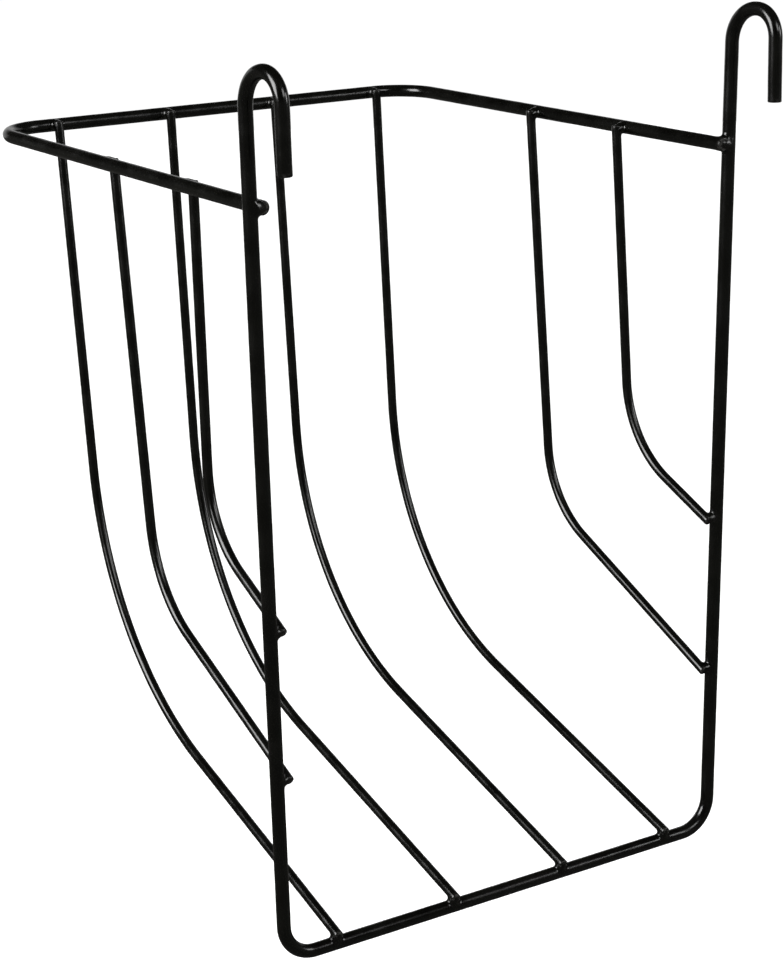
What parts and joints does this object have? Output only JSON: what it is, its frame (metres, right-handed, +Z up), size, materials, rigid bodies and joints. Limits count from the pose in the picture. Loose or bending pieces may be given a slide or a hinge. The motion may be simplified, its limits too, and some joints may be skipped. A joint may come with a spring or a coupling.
{
  "type": "hanging hay rack feeder",
  "caption": "Coated wire hay basket with a U-shaped top rim, curved front and side bars and a back frame whose rod ends form hooks over a fence rail.",
  "frame": {"origin": "midway between the two hooks, at the mean height of the undersides of their arches, where the fence rail's top lies", "axes": "+Z up; +Y from the fence into the basket; +X to the right seen from the fence"},
  "size_m": [0.228, 0.2504, 0.3509],
  "materials": {
    "coated_rod": "gloss black coating on 5.5 mm rod",
    "coated_bar": "gloss black coating on 4 mm rod",
    "coated_weld": "gloss black coating pooled over welds"
  },
  "bodies": {
    "root": {"front_bar_1": "coated_bar", "front_bar_2": "coated_bar", "front_bar_3": "coated_bar", "front_bar_4": "coated_bar", "hanger_frame": "coated_rod", "left_side_bar_front": "coated_bar", "left_side_bar_rear": "coated_bar", "right_side_bar_front": "coated_bar", "right_side_bar_rear": "coated_bar", "top_rim": "coated_rod", "weld_front_bar_1_foot": "coated_weld", "weld_front_bar_1_top": "coated_weld", "weld_front_bar_2_foot": "coated_weld", "weld_front_bar_2_top": "coated_weld", "weld_front_bar_3_foot": "coated_weld", "weld_front_bar_3_top": "coated_weld", "weld_front_bar_4_foot": "coated_weld", "weld_front_bar_4_top": "coated_weld", "weld_left_side_bar_front_foot": "coated_weld", "weld_left_side_bar_front_top": "coated_weld", "weld_left_side_bar_rear_foot": "coated_weld", "weld_left_side_bar_rear_top": "coated_weld", "weld_right_side_bar_front_foot": "coated_weld", "weld_right_side_bar_front_top": "coated_weld", "weld_right_side_bar_rear_foot": "coated_weld", "weld_right_side_bar_rear_top": "coated_weld", "weld_rim_to_left_leg": "coated_weld", "weld_rim_to_right_leg": "coated_weld"}
  },
  "joints": []
}
